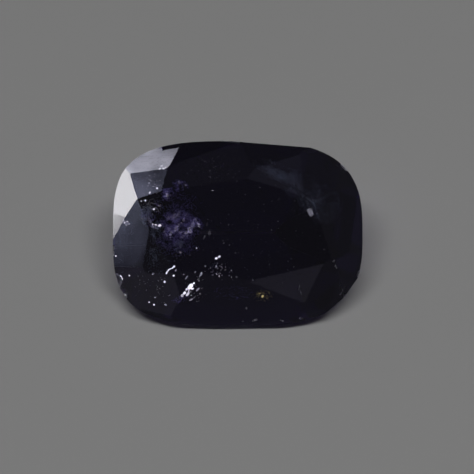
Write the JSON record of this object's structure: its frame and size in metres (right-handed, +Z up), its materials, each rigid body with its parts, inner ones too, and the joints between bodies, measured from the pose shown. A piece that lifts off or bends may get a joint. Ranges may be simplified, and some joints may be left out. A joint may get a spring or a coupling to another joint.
{
  "type": "cut iolite gemstone",
  "caption": "Loose faceted iolite in an antique cushion cut, deep violet-blue, lying on a pavilion facet with its table tipped towards the front.",
  "frame": {"origin": "centre of the stone's bounding box, at the height of the surface that it lies on", "axes": "+X along the stone's long side, to the right in the picture; +Y away from the viewer; +Z up. The table faces -Y and up, 42 degrees off level"},
  "size_m": [0.012, 0.007, 0.0064],
  "materials": {
    "polished_iolite": "polished facets on a strongly coloured, see-through violet-blue crystal with small inclusions"
  },
  "bodies": {
    "root": {"cut_stone": "polished_iolite"}
  },
  "joints": []
}
